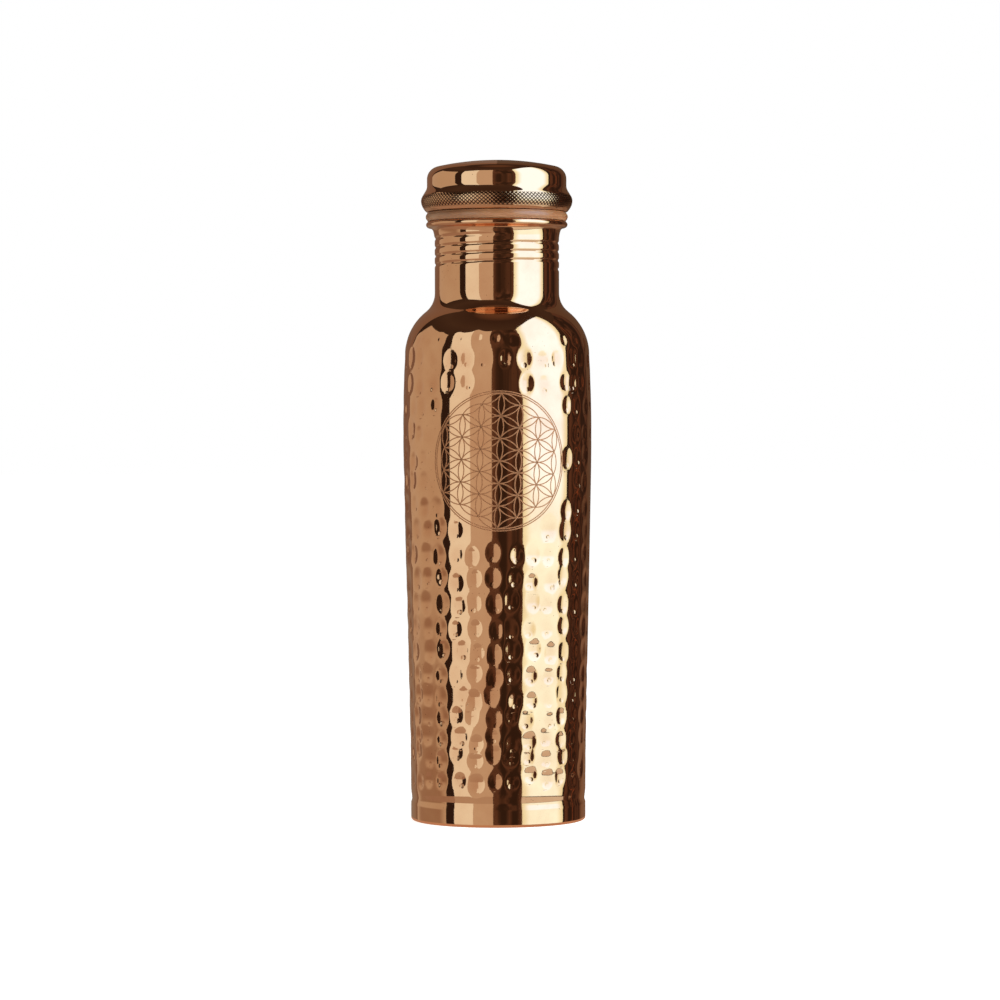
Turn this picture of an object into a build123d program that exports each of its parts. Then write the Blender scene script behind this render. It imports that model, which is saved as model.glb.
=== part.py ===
"""Hammered copper water bottle with a screw lid.

The bottle is one drawn copper shell, open at the top, with a base disc let in
and soldered at the foot. Its thread is rolled into the neck, so the same helix
shows as grooves outside and as ridges inside. The lid is a spun cap crimped
round the flange of a hollow threaded plug, and a silicone washer is clamped
between the lid and the curled lip. Millimetres, +Z up, foot plane at z = 0,
origin on the bottle's axis.
"""
from build123d import *
import math
import os

os.makedirs("parts", exist_ok=True)

# Sheet and foot
WALL = 0.6                 # copper sheet of the bottle shell
FOOT_R = 35.15             # outside radius of the plain band above the foot
FOOT_CORNER_R = 1.2        # rounded edge that the bottle stands on
FOOT_BAND_TOP = 7.3
HEM_INNER_R = 32.6         # the sheet's turned-in edge under the base

# Barrel and shoulder
BARREL_R = 37.85           # the fullest part of the barrel
BARREL_Z = 160.0
SHOULDER_R = 22.3          # round of the shoulder, in section
SHOULDER_Z = 187.0         # height of that round's centre
SHOULDER_EDGE_R = 37.1     # barrel radius level with that centre
SHOULDER_START = 1.0       # the round begins this far above its centre
ROOT_R = 9.5               # hollow round where the shoulder meets the neck

# Neck, rolled thread and curled lip
NECK_R = 25.0
NECK_TOP = 236.0           # the neck starts to flare here, clear of the thread's end
LIP_BEAD_R = 1.5
LIP_R = 28.4               # outside radius of the curled lip
LIP_TOP = 240.65
PITCH = 3.5                # single start, right hand
THREAD_START = 221.5       # height of the first groove where it crosses +X
THREAD_TURNS = 3.75
GROOVE_DEPTH = 0.4
GROOVE_R = 0.65            # radius of the roller's edge that pressed the groove

# Base
BASE_Z = 3.4               # underside of the base disc, up inside the foot
BASE_RIM_Z = 1.3           # lower edge of its turned-down rim
FIT = 0.05                 # slip fit between parts that are soldered or crimped
SOLDER_LEG = 0.7

# Washer
WASHER_R = 28.58
WASHER_END_R = 27.95
WASHER_HOLE_R = 24.75
WASHER_H = 3.6
WASHER_GAP = 0.1

# Lid cap
CAP_WALL = 0.7
CAP_UNDER = 244.55         # underside of the lid, on the washer
CAP_CRIMP_R = 26.2         # inner edge of the sheet that grips the plug's flange
BEAD_R = 30.46             # knurled grip bead
BEAD_Z = 249.1
CAP_SIDE_R = 28.04
CAP_SIDE_Z = 255.4         # the bead has run out into the straight side here
CAP_TOP = 265.26
CAP_SAG = 3.56             # rise of the domed top over the side radius
CAP_CORNER_R = 5.95

# Lid plug
PLUG_R = 23.75
PLUG_WALL = 0.6
PLUG_BOTTOM = 219.5
FLANGE_R = 27.8
FLANGE_T = 0.7
PLUG_RIDGE_R = 24.25       # crest of the plug's thread
PLUG_RIDGE_W = 1.5         # its width at the root
PLUG_RIDGE_TURNS = 3.0     # shorter than the neck's thread, which it enters
FLOOR_INSET = 0.5          # the floor disc sits this far up inside the plug
FLOOR_RIM_H = 3.0


def turned(outline):
    """Solid of revolution about Z from a closed outline in (radius, height)."""
    return revolve(Plane.XZ * make_face(outline), Axis.Z)


def joined_arcs(skin):
    """Point where the shoulder's round runs into the hollow root round."""
    shoulder_c = (SHOULDER_EDGE_R - SHOULDER_R, SHOULDER_Z)
    reach = SHOULDER_R + ROOT_R
    across = NECK_R + ROOT_R - shoulder_c[0]
    rise = math.sqrt(reach ** 2 - across ** 2)
    share = (SHOULDER_R - skin) / reach
    meet = (shoulder_c[0] + across * share, SHOULDER_Z + rise * share)
    return shoulder_c, meet, SHOULDER_Z + rise


def on_circle(centre, radius, degrees):
    """Point of a circle at an angle from the outward direction."""
    turn = math.radians(degrees)
    return (centre[0] + radius * math.cos(turn), centre[1] + radius * math.sin(turn))


def barrel_side(skin):
    """Side of the shell from the foot band to the neck, skin mm inside the outer face."""
    shoulder_c, meet, root_z = joined_arcs(skin)
    lean = math.degrees(math.asin(SHOULDER_START / SHOULDER_R))
    edge = on_circle(shoulder_c, SHOULDER_R - skin, lean)
    middle = on_circle(shoulder_c, SHOULDER_R - skin, 30)
    root_c = (NECK_R + ROOT_R, root_z)
    root_mid = on_circle(root_c, ROOT_R + skin, 205)
    side = Spline(
        (FOOT_R - skin, FOOT_BAND_TOP), (FOOT_R + 0.5 - skin, 45), (FOOT_R + 1.45 - skin, 88),
        (BARREL_R - 0.35 - skin, 130), (BARREL_R - skin, BARREL_Z), edge,
        tangents=[(0, 1), (-math.tan(math.radians(lean)), 1)])
    shoulder = ThreePointArc(edge, middle, meet)
    root = ThreePointArc(meet, root_mid, (NECK_R - skin, root_z))
    neck = Line((NECK_R - skin, root_z), (NECK_R - skin, NECK_TOP))
    return side + shoulder + root + neck


def shell_outline():
    """Section of the drawn sheet, from the hem under the foot to the curled lip."""
    corner = (FOOT_R - FOOT_CORNER_R, FOOT_CORNER_R)
    inner_corner_r = FOOT_CORNER_R - WALL
    bead_c = (LIP_R - LIP_BEAD_R, LIP_TOP - LIP_BEAD_R)
    lip_out = on_circle(bead_c, LIP_BEAD_R, 231)
    lip_in = on_circle(bead_c, LIP_BEAD_R, 204)
    foot_out = Line((HEM_INNER_R, 0), (corner[0], 0))
    edge_out = ThreePointArc((corner[0], 0), on_circle(corner, FOOT_CORNER_R, -45), (FOOT_R, corner[1]))
    band_out = Line((FOOT_R, corner[1]), (FOOT_R, FOOT_BAND_TOP))
    flare_out = TangentArc((NECK_R, NECK_TOP), lip_out, tangent=(0, 1))
    bead = ThreePointArc(lip_out, (LIP_R, bead_c[1]), lip_in)
    flare_in = TangentArc((NECK_R - WALL, NECK_TOP), lip_in, tangent=(0, 1))
    band_in = Line((FOOT_R - WALL, FOOT_BAND_TOP), (FOOT_R - WALL, corner[1]))
    edge_in = ThreePointArc(
        (FOOT_R - WALL, corner[1]), on_circle(corner, inner_corner_r, -45), (corner[0], WALL))
    foot_in = Line((corner[0], WALL), (HEM_INNER_R, WALL))
    hem_end = Line((HEM_INNER_R, WALL), (HEM_INNER_R, 0))
    outer = foot_out + edge_out + band_out + barrel_side(0) + flare_out + bead
    inner = flare_in + barrel_side(WALL) + band_in + edge_in + foot_in + hem_end
    return outer + inner


def wound(section, radius, start_z, turns):
    """Sweep a section, drawn in (radius, height) about its centre, along a helix."""
    path = Pos(0, 0, start_z) * Helix(PITCH, PITCH * turns, radius)
    placed = Plane(origin=path @ 0, x_dir=(1, 0, 0), z_dir=path % 0) * section
    return sweep(placed, path=path, is_frenet=True)


def neck_groove():
    """The helical groove outside the neck, as the solid that it takes away."""
    radius = NECK_R - GROOVE_DEPTH + GROOVE_R
    return wound(Circle(GROOVE_R), radius, THREAD_START, THREAD_TURNS)


def neck_ridge():
    """The same helix inside the neck: the sheet pushed in by the groove."""
    radius = NECK_R - GROOVE_DEPTH + GROOVE_R
    back = radius - (NECK_R - WALL / 2)
    reach = GROOVE_R + WALL
    half = math.sqrt(reach ** 2 - back ** 2)
    face = make_face(
        ThreePointArc((-back, -half), (-reach, 0), (-back, half)) + Line((-back, half), (-back, -half)))
    return wound(face, radius, THREAD_START, THREAD_TURNS)


def bottle_shell():
    """Drawn, hammered shell with its rolled thread and curled lip."""
    return turned(shell_outline()) + neck_ridge() - neck_groove()


def base_disc():
    """Pressed disc that closes the bottom, its rim turned down inside the foot."""
    rim_out = FOOT_R - WALL - FIT
    rim_in = rim_out - WALL
    top = BASE_Z + WALL
    outline = Polyline(
        (0, BASE_Z), (rim_in, BASE_Z), (rim_in, BASE_RIM_Z), (rim_out, BASE_RIM_Z),
        (rim_out, top), (0, top), close=True)
    return turned(outline)


def base_solder():
    """Solder fillet round the top of the base disc."""
    wall_r = FOOT_R - WALL
    top = BASE_Z + WALL
    outline = Polyline((wall_r - SOLDER_LEG, top), (wall_r, top), (wall_r, top + SOLDER_LEG), close=True)
    return turned(outline)


def gasket():
    """Silicone washer with a slightly barrelled edge."""
    low = LIP_TOP + WASHER_GAP
    high = low + WASHER_H
    outline = (
        Line((WASHER_HOLE_R, high), (WASHER_HOLE_R, low)) + Line((WASHER_HOLE_R, low), (WASHER_END_R, low))
        + ThreePointArc((WASHER_END_R, low), (WASHER_R, (low + high) / 2), (WASHER_END_R, high))
        + Line((WASHER_END_R, high), (WASHER_HOLE_R, high)))
    return turned(outline)


def cap_skin(skin):
    """Section of one face of the cap, from its underside over the bead to the crown."""
    dome_r = (CAP_SIDE_R ** 2 + CAP_SAG ** 2) / (2 * CAP_SAG)
    dome_z = CAP_TOP - dome_r
    corner_x = CAP_SIDE_R - CAP_CORNER_R
    reach = dome_r - CAP_CORNER_R
    corner_z = dome_z + math.sqrt(reach ** 2 - corner_x ** 2)
    lift = math.degrees(math.atan2(corner_z - dome_z, corner_x))
    corner = (corner_x, corner_z)
    dome = (0, dome_z)
    crimp = (28.2 - 0.4 * skin, CAP_UNDER + skin)
    low_mid = (29.85 - 0.75 * skin, 246.4 + 0.66 * skin)
    crest = (BEAD_R - skin, BEAD_Z)
    high_mid = (30.12 - 0.85 * skin, 250.55 - 0.5 * skin)
    shoulder = (29.3 - 0.75 * skin, 251.65 - 0.6 * skin)
    side_foot = (CAP_SIDE_R - skin, CAP_SIDE_Z)
    corner_foot = (CAP_SIDE_R - skin, corner_z)
    corner_top = on_circle(corner, CAP_CORNER_R - skin, lift)
    crown = (0, CAP_TOP - skin)
    return (
        Line((CAP_CRIMP_R, CAP_UNDER + skin), crimp)
        + ThreePointArc(crimp, low_mid, crest) + ThreePointArc(crest, high_mid, shoulder)
        + TangentArc(side_foot, shoulder, tangent=(0, -1)) + Line(side_foot, corner_foot)
        + ThreePointArc(corner_foot, on_circle(corner, CAP_CORNER_R - skin, lift / 2), corner_top)
        + ThreePointArc(corner_top, on_circle(dome, dome_r - skin, (90 + lift) / 2), crown))


def lid_cap():
    """Spun cap with a grip bead; its lower edge is crimped in under the plug's flange."""
    outline = (
        cap_skin(0) + cap_skin(CAP_WALL) + Line((0, CAP_TOP), (0, CAP_TOP - CAP_WALL))
        + Line((CAP_CRIMP_R, CAP_UNDER), (CAP_CRIMP_R, CAP_UNDER + CAP_WALL)))
    return turned(outline)


def plug_ridge():
    """Thread of the plug, half a pitch off the neck's ridge so that the two interlock."""
    height = PLUG_RIDGE_R - PLUG_R
    root = -PLUG_WALL / 2
    face = make_face(
        ThreePointArc((root, PLUG_RIDGE_W / 2), (height, 0), (root, -PLUG_RIDGE_W / 2))
        + Line((root, -PLUG_RIDGE_W / 2), (root, PLUG_RIDGE_W / 2)))
    return wound(face, PLUG_R, THREAD_START + PITCH / 2, PLUG_RIDGE_TURNS)


def lid_plug():
    """Hollow threaded plug; the cap grips the flange at its top."""
    flange_z = CAP_UNDER + CAP_WALL
    bore = PLUG_R - PLUG_WALL
    outline = Polyline(
        (bore, PLUG_BOTTOM), (PLUG_R, PLUG_BOTTOM), (PLUG_R, flange_z), (FLANGE_R, flange_z),
        (FLANGE_R, flange_z + FLANGE_T), (bore, flange_z + FLANGE_T), close=True)
    return turned(outline) + plug_ridge()


def plug_floor():
    """Dished disc that closes the bottom of the plug."""
    out = PLUG_R - PLUG_WALL - FIT
    low = PLUG_BOTTOM + FLOOR_INSET
    outline = Polyline(
        (0, low), (out, low), (out, low + FLOOR_RIM_H), (out - PLUG_WALL, low + FLOOR_RIM_H),
        (out - PLUG_WALL, low + PLUG_WALL), (0, low + PLUG_WALL), close=True)
    return turned(outline)


def plug_solder():
    """Solder run round the floor disc, flush with the end of the plug."""
    bore = PLUG_R - PLUG_WALL
    low = PLUG_BOTTOM + FLOOR_INSET
    outline = Polyline((bore, PLUG_BOTTOM), (bore, low), (bore - SOLDER_LEG, low), close=True)
    return turned(outline)


SUB_PARTS = {
    "bottle_shell": bottle_shell,
    "base_disc": base_disc,
    "base_solder": base_solder,
    "gasket": gasket,
    "lid_cap": lid_cap,
    "lid_plug": lid_plug,
    "plug_floor": plug_floor,
    "plug_solder": plug_solder,
}

for node, build in SUB_PARTS.items():
    export_step(build(), f"parts/{node}.step")
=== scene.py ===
"""Hammered copper water bottle: its visible meshes, finishes, studio and camera."""
import logging
import math
import random
from collections.abc import Callable, Iterable
from dataclasses import dataclass, field
from enum import Enum
from typing import Any

import bmesh
import bpy
import numpy as np
from mathutils import Euler, Matrix, Vector


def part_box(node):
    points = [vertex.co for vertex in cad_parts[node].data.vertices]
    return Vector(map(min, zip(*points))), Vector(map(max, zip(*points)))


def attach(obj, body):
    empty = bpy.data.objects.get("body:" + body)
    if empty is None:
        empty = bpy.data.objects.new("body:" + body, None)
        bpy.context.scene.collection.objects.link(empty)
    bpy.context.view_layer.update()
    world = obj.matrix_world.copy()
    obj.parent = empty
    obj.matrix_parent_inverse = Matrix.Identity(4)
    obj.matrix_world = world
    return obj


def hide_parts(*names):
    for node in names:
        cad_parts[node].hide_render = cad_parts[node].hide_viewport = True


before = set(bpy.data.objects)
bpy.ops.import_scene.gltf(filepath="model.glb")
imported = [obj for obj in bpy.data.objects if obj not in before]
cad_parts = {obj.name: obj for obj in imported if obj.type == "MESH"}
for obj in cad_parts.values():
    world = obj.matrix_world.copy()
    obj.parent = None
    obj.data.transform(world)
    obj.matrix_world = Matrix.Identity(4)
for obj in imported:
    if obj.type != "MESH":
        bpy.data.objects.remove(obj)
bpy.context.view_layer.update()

MM = 0.001
FULL_TURN = 2 * math.pi
AXIS_GAP = 1e-6  # a radius under this is on the axis
LOG = logging.getLogger("bottle")

Point = tuple[float, float]
Rise = Callable[[np.ndarray, np.ndarray, np.ndarray], np.ndarray]


class Body(Enum):
    """The bodies that the pieces ride on."""

    BOTTLE = "bottle"
    WASHER = "washer"
    LID = "lid"


class Slot(Enum):
    """The record's material slots."""

    HAMMERED = "hammered_copper"
    BASE = "base_copper"
    LID = "lid_copper"
    PLUG = "plug_copper"
    SILICONE = "silicone"
    SOLDER = "solder"


class Lay(Enum):
    """Which way the fine lines of a worked surface run."""

    AROUND = "around"
    ALONG = "along"


def linear(code: str) -> tuple[float, float, float, float]:
    """Turn an sRGB hex colour into linear RGBA.

    Args:
        code: six hex digits, with or without a leading hash.

    Returns:
        Red, green, blue and an alpha of one.
    """
    digits = code.lstrip("#")
    shares = [int(digits[i:i + 2], 16) / 255 for i in (0, 2, 4)]
    red, green, blue = (c / 12.92 if c <= 0.04045 else ((c + 0.055) / 1.055) ** 2.4 for c in shares)
    return (red, green, blue, 1.0)


def add_node(tree: bpy.types.NodeTree, kind: str, links: dict[Any, Any] | None = None,
             **settings: Any) -> Any:
    """Add one node with its settings and its inputs.

    Args:
        tree: the node tree that it joins.
        kind: the node's type name, without the leading ShaderNode.
        links: input name or number to a value, or to the socket that feeds it.
        settings: attributes of the node.

    Returns:
        The new node.
    """
    node = tree.nodes.new("ShaderNode" + kind)
    for name, value in settings.items():
        setattr(node, name, value)
    for key, value in (links or {}).items():
        if isinstance(value, bpy.types.NodeSocket):
            tree.links.new(value, node.inputs[key])
        else:
            node.inputs[key].default_value = value
    return node


def new_material(name: str) -> tuple[bpy.types.Material, bpy.types.NodeTree, Any]:
    """Make a material with an empty tree and an output.

    Args:
        name: the material's name.

    Returns:
        The material, its tree and its output node.
    """
    material = bpy.data.materials.new(name)
    material.use_nodes = True
    tree = material.node_tree
    tree.nodes.clear()
    return material, tree, add_node(tree, "OutputMaterial")


# ---------------------------------------------------------------- finishes


@dataclass(frozen=True)
class Copper:
    """Sheet copper, worked and then buffed: a warm mirror with fine tool lines and a little patina.

    The mesh may carry two values that the tools left behind: dent, how far a place is down a hammer mark
    or a cut, and pit, where the hammer's peened point broke the polish. Down the marks and cuts the colour
    is darkened by painted shade, as far as hollow_shade says, on top of random patches of patina.
    """

    name: str
    bright: str = "F9C39A"
    tarnish_and_shade: str = "E2A078"
    # Colour of the random patina patches, and of the painted shade down the hollows.
    stain: str = "7A4426"
    roughness: tuple[float, float] = (0.035, 0.10)
    lay: Lay = Lay.AROUND
    line_mm: float = 0.35
    line_depth_mm: float = 0.0010
    cloud_mm: float = 14.0
    # Share of painted shade at the bottom of a hammer mark or cut.
    hollow_shade: float = 0.0
    cloud_span: Point = (0.35, 0.75)
    patch_share: float = 0.5
    full_wear: float = 0.5
    speck_mm: float = 1.65
    speck_share: float = 0.099
    crowd_mm: float = 16.5
    crowd_from: float = 0.56
    stain_share: float = 0.75
    pit_reach: Point = (1.1, 0.25)
    pit_roughness: float = 0.12
    pit_grain_mm: float = 0.4
    pit_grain: Point = (0.5, -1.2)
    pit_depth_mm: float = 0.17

    def lines(self, tree: bpy.types.NodeTree, place: Any) -> Any:
        """Fine tool lines: noise squeezed across the lay and drawn out along it.

        Args:
            tree: the material's tree.
            place: object coordinates in metres.

        Returns:
            The noise factor's socket.
        """
        fine = 1 / (self.line_mm * MM)
        long = fine / 40
        scale = (long, long, fine) if self.lay is Lay.AROUND else (fine, fine, long)
        stretched = add_node(tree, "Mapping", {"Vector": place, "Scale": scale})
        noise = add_node(tree, "TexNoise", {"Vector": stretched.outputs[0], "Scale": 1.0, "Detail": 3.0})
        return noise.outputs["Fac"]

    def specks(self, tree: bpy.types.NodeTree, place: Any) -> Any:
        """Pin-point oxide spots, a few here and there: small cores of a cell pattern, gated by a cloud.

        Args:
            tree: the material's tree.
            place: object coordinates in metres.

        Returns:
            A socket that is one inside a spot.
        """
        cells = add_node(tree, "TexVoronoi", {"Vector": place, "Scale": 1 / (self.speck_mm * MM)})
        core = add_node(tree, "Math", {0: cells.outputs["Distance"], 1: self.speck_share},
                        operation="LESS_THAN").outputs[0]
        crowd = add_node(tree, "TexNoise", {
            "Vector": place, "Scale": 1 / (self.crowd_mm * MM), "Detail": 1.0}).outputs["Fac"]
        gate = add_node(tree, "Math", {0: crowd, 1: self.crowd_from}, operation="GREATER_THAN").outputs[0]
        return add_node(tree, "Math", {0: core, 1: gate}, operation="MULTIPLY").outputs[0]

    def hollow(self, tree: bpy.types.NodeTree, place: Any) -> Any:
        """How far down a hammer mark each place is, as a socket."""
        return add_node(tree, "Attribute", attribute_name="dent").outputs["Fac"]

    def pit(self, tree: bpy.types.NodeTree) -> Any:
        """How far into a peened pit each place is, from its distance to the pit's middle.

        Args:
            tree: the material's tree.

        Returns:
            A socket, nought outside a pit and up to one at its middle.
        """
        near = add_node(tree, "Attribute", attribute_name="pit_near").outputs["Fac"]
        across, up = (add_node(tree, "Attribute", attribute_name=name).outputs["Fac"]
                      for name in ("pit_x", "pit_z"))
        away = add_node(tree, "CombineXYZ", {0: across, 1: up})
        reach = add_node(tree, "VectorMath", {0: away.outputs[0]}, operation="LENGTH").outputs["Value"]
        rim, core = self.pit_reach
        bowl = add_node(tree, "MapRange", {0: reach, 1: rim, 2: core, 3: 0.0, 4: 1.0},
                        interpolation_type="SMOOTHSTEP").outputs[0]
        return add_node(tree, "Math", {0: bowl, 1: near}, operation="MULTIPLY").outputs[0]

    def material(self) -> bpy.types.Material:
        """Build the metal's node tree.

        Returns:
            The finished material.
        """
        material, tree, output = new_material(self.name)
        place = add_node(tree, "TexCoord").outputs["Object"]
        lines = self.lines(tree, place)
        cloud = add_node(tree, "TexNoise", {
            "Vector": place, "Scale": 1 / (self.cloud_mm * MM), "Detail": 4.0,
            "Roughness": 0.6}).outputs["Fac"]
        thin, thick = self.cloud_span
        patch = add_node(tree, "MapRange", {0: cloud, 1: thin, 2: thick, 4: self.patch_share}).outputs[0]
        dented = self.hollow(tree, place)
        pitted = self.pit(tree)
        # Painted shade: darker, duller copper down the hammer marks and knurl cuts, added to random patches
        # of patina.
        patina_and_shade = add_node(tree, "Math", {0: dented, 1: self.hollow_shade, 2: patch}, operation="MULTIPLY_ADD",
                        use_clamp=True).outputs[0]
        tinted_and_shaded = add_node(tree, "Mix", {0: patina_and_shade, 6: linear(self.bright), 7: linear(self.tarnish_and_shade)},
                        data_type="RGBA").outputs[2]
        spots = add_node(tree, "Math", {0: self.specks(tree, place), 1: self.stain_share},
                         operation="MULTIPLY").outputs[0]
        tint = add_node(tree, "Mix", {0: spots, 6: tinted_and_shaded, 7: linear(self.stain)}, data_type="RGBA").outputs[2]
        low, high = self.roughness
        gloss = add_node(tree, "Math", {0: lines, 1: patina_and_shade}, operation="MULTIPLY").outputs[0]
        sheen = add_node(tree, "MapRange", {
            0: gloss, 1: 0.0, 2: self.full_wear, 3: low, 4: high}).outputs[0]
        rough = add_node(tree, "Math", {0: pitted, 1: self.pit_roughness, 2: sheen},
                         operation="MULTIPLY_ADD").outputs[0]
        fine = add_node(tree, "Bump", {
            "Height": lines, "Distance": self.line_depth_mm * MM, "Strength": 1.0}).outputs[0]
        grain = add_node(tree, "TexNoise", {
            "Vector": place, "Scale": 1 / (self.pit_grain_mm * MM), "Detail": 2.0}).outputs["Fac"]
        swing, floor = self.pit_grain
        uneven = add_node(tree, "Math", {0: grain, 1: swing, 2: floor}, operation="MULTIPLY_ADD").outputs[0]
        sunk = add_node(tree, "Math", {0: uneven, 1: pitted}, operation="MULTIPLY").outputs[0]
        bump = add_node(tree, "Bump", {
            "Height": sunk, "Distance": self.pit_depth_mm * MM, "Strength": 1.0, "Normal": fine}).outputs[0]
        metal = add_node(tree, "BsdfPrincipled", {
            "Base Color": tint, "Metallic": 1.0, "Roughness": rough, "Normal": bump})
        tree.links.new(metal.outputs[0], output.inputs[0])
        return material


@dataclass(frozen=True)
class KnurledCopper(Copper):
    """Spun copper with a diamond knurl: its points keep the bright colour, and its cuts are painted dark with
    painted shade.
    """

    knurls: int = 112
    first_z: float = 246.4
    row: float = 0.72
    cut_from: float = 0.2
    cut_full: float = 0.45

    def hollow(self, tree: bpy.types.NodeTree, place: Any) -> Any:
        """How far down the crossed cuts each place is, as a socket.

        Args:
            tree: the material's tree.
            place: object coordinates in metres.

        Returns:
            A socket, nought on a point of the knurl and one at the bottom of a cut.
        """
        apart = add_node(tree, "SeparateXYZ", {0: place})
        turn = add_node(tree, "Math", {0: apart.outputs[1], 1: apart.outputs[0]},
                        operation="ARCTAN2").outputs[0]
        around = add_node(tree, "Math", {0: turn, 1: self.knurls / FULL_TURN},
                          operation="MULTIPLY").outputs[0]
        up = add_node(tree, "Math", {
            0: apart.outputs[2], 1: 0.5 / (self.row * MM), 2: -0.5 * self.first_z / self.row},
            operation="MULTIPLY_ADD").outputs[0]
        lines = [add_node(tree, "Math", {0: around, 1: up}, operation=way).outputs[0]
                 for way in ("ADD", "SUBTRACT")]
        flanks = [add_node(tree, "Math", {0: line, 1: 0.5}, operation="PINGPONG").outputs[0]
                  for line in lines]
        deepest = add_node(tree, "Math", {0: flanks[0], 1: flanks[1]}, operation="MAXIMUM").outputs[0]
        cut = add_node(tree, "MapRange", {0: deepest, 1: self.cut_from, 2: self.cut_full}).outputs[0]
        band = add_node(tree, "Attribute", attribute_name="dent").outputs["Fac"]
        return add_node(tree, "Math", {0: cut, 1: band}, operation="MULTIPLY").outputs[0]


@dataclass(frozen=True)
class EtchedCopper:
    """Copper bitten by a marking laser: matte, a little darker, and the same from every side."""

    name: str = "etched copper"
    colour: str = "C98E63"
    dark: str = "A26B47"
    grain_mm: float = 0.25

    def material(self) -> bpy.types.Material:
        """Build the matte line's node tree.

        Returns:
            The finished material.
        """
        material, tree, output = new_material(self.name)
        place = add_node(tree, "TexCoord").outputs["Object"]
        grain = add_node(tree, "TexNoise", {
            "Vector": place, "Scale": 1 / (self.grain_mm * MM), "Detail": 2.0}).outputs["Fac"]
        tint = add_node(tree, "Mix", {0: grain, 6: linear(self.colour), 7: linear(self.dark)},
                        data_type="RGBA").outputs[2]
        metal = add_node(tree, "BsdfPrincipled", {"Base Color": tint, "Metallic": 0.55, "Roughness": 0.5})
        tree.links.new(metal.outputs[0], output.inputs[0])
        return material


@dataclass(frozen=True)
class Silicone:
    """Moulded translucent silicone: soft, matte and slightly waxy, so light spreads inside it."""

    name: str = "moulded silicone"
    colour: str = "AE7B53"
    shade: str = "8F6343"
    cloud_mm: float = 9.0
    grain_mm: float = 0.3
    grain_depth_mm: float = 0.01
    depth_mm: float = 1.4
    skin_ior: float = 1.5

    def material(self) -> bpy.types.Material:
        """Build the silicone's node tree.

        Returns:
            The finished material.
        """
        material, tree, output = new_material(self.name)
        place = add_node(tree, "TexCoord").outputs["Object"]
        cloud = add_node(tree, "TexNoise", {
            "Vector": place, "Scale": 1 / (self.cloud_mm * MM), "Detail": 3.0}).outputs["Fac"]
        tint = add_node(tree, "Mix", {0: cloud, 6: linear(self.colour), 7: linear(self.shade)},
                        data_type="RGBA").outputs[2]
        grain = add_node(tree, "TexNoise", {
            "Vector": place, "Scale": 1 / (self.grain_mm * MM), "Detail": 2.0}).outputs["Fac"]
        bump = add_node(tree, "Bump", {
            "Height": grain, "Distance": self.grain_depth_mm * MM, "Strength": 0.6}).outputs[0]
        rubber = add_node(tree, "BsdfPrincipled", {
            "Base Color": tint, "Roughness": 0.36, "IOR": 1.41, "Subsurface Weight": 0.3,
            "Subsurface Radius": (1.0, 0.55, 0.3), "Subsurface Scale": self.depth_mm * MM,
            "Coat Weight": 0.9, "Coat Roughness": 0.22, "Coat IOR": self.skin_ior, "Normal": bump})
        tree.links.new(rubber.outputs[0], output.inputs[0])
        return material


@dataclass(frozen=True)
class TinSolder:
    """Wiped tin solder: grey, dull and finely pitted where it froze."""

    name: str = "tin solder"
    colour: str = "B9B0A2"
    pit_mm: float = 0.4
    pit_depth_mm: float = 0.03

    def material(self) -> bpy.types.Material:
        """Build the solder's node tree.

        Returns:
            The finished material.
        """
        material, tree, output = new_material(self.name)
        place = add_node(tree, "TexCoord").outputs["Object"]
        pits = add_node(tree, "TexNoise", {
            "Vector": place, "Scale": 1 / (self.pit_mm * MM), "Detail": 3.0}).outputs["Fac"]
        rough = add_node(tree, "MapRange", {0: pits, 1: 0.3, 2: 0.7, 3: 0.3, 4: 0.5}).outputs[0]
        bump = add_node(tree, "Bump", {
            "Height": pits, "Distance": self.pit_depth_mm * MM, "Strength": 0.7}).outputs[0]
        metal = add_node(tree, "BsdfPrincipled", {
            "Base Color": linear(self.colour), "Metallic": 1.0, "Roughness": rough, "Normal": bump})
        tree.links.new(metal.outputs[0], output.inputs[0])
        return material


@dataclass(frozen=True)
class Glow:
    """A lit card: light that may fall off to its sides, and change with height or in soft patches."""

    name: str
    colour: str
    strength: float
    low_colour: str = ""
    edge_colour: str = ""
    heights: Point = (0.0, 1.0)
    patch_mm: float = 0.0
    patch_span: Point = (0.42, 0.68)

    def material(self) -> bpy.types.Material:
        """Build the card's node tree.

        Returns:
            The finished material.
        """
        material, tree, output = new_material(self.name)
        place = add_node(tree, "TexCoord").outputs["Object"]
        if self.patch_mm:
            drawn = add_node(tree, "Mapping", {"Vector": place, "Scale": (1.0, 1.0, 0.3)}).outputs[0]
            level = add_node(tree, "TexNoise", {
                "Vector": drawn, "Scale": 1 / (self.patch_mm * MM), "Detail": 3.0}).outputs["Fac"]
            low, high = self.patch_span
        else:
            level = add_node(tree, "SeparateXYZ", {0: place}).outputs[2]
            low, high = self.heights
        share = add_node(tree, "MapRange", {0: level, 1: low, 2: high},
                         interpolation_type="SMOOTHSTEP").outputs[0]
        dim, side = (linear(code or self.colour) for code in (self.low_colour, self.edge_colour))
        middle = add_node(tree, "Mix", {0: share, 6: dim, 7: linear(self.colour)},
                          data_type="RGBA").outputs[2]
        inside = add_node(tree, "Attribute", attribute_name="inside").outputs["Fac"]
        tint = add_node(tree, "Mix", {0: inside, 6: side, 7: middle}, data_type="RGBA").outputs[2]
        light = add_node(tree, "Emission", {"Color": tint, "Strength": self.strength})
        tree.links.new(light.outputs[0], output.inputs[0])
        return material


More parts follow.
